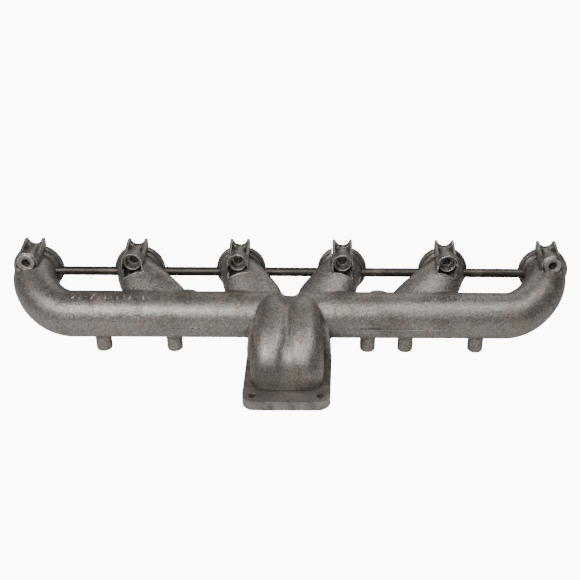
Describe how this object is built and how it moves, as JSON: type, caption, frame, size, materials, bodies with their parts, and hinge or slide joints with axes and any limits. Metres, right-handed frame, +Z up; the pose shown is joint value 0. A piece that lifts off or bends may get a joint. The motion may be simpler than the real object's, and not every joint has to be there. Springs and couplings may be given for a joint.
{
  "type": "exhaust manifold",
  "caption": "Cast iron log exhaust manifold with flared runners, round port flanges, steel tie bars and a twin elbow to a divided turbocharger flange.",
  "frame": {"origin": "middle of the row of head bolts, on the face that meets the cylinder head", "axes": "+X along the row of ports from port 1 to port 6, +Y out of the ports into the cylinder head, +Z up, away from the turbocharger flange"},
  "size_m": [0.768, 0.2131, 0.1307],
  "materials": {
    "cast_iron": "blasted cast skin, grey with brown heat stains",
    "machined_iron": "machined faces on cast flanges, satin",
    "tie_bar_steel": "drawn steel bar, smooth, slightly heat tinted"
  },
  "bodies": {
    "root": {"log_pipe_left": "cast_iron", "log_pipe_centre": "cast_iron", "log_pipe_right": "cast_iron", "end_elbow_1": "cast_iron", "end_elbow_6": "cast_iron", "runner_2": "cast_iron", "runner_3": "cast_iron", "runner_4": "cast_iron", "runner_5": "cast_iron", "port_flange_1": "machined_iron", "port_flange_2": "machined_iron", "port_flange_3": "machined_iron", "port_flange_4": "machined_iron", "port_flange_5": "machined_iron", "port_flange_6": "machined_iron", "bolt_boss_1": "cast_iron", "bolt_boss_2": "cast_iron", "bolt_boss_3": "cast_iron", "bolt_boss_4": "cast_iron", "bolt_boss_5": "cast_iron", "bolt_boss_6": "cast_iron", "turbo_elbow": "cast_iron", "shoulder_left": "cast_iron", "shoulder_right": "cast_iron", "turbo_flange": "machined_iron", "shield_boss_1": "cast_iron", "shield_boss_2": "cast_iron", "shield_boss_3": "cast_iron", "shield_boss_4": "cast_iron", "shield_boss_5": "cast_iron", "tie_bar_1": "tie_bar_steel", "tie_bar_2": "tie_bar_steel", "tie_bar_3": "tie_bar_steel", "tie_bar_4": "tie_bar_steel", "tie_bar_5": "tie_bar_steel"}
  },
  "joints": []
}
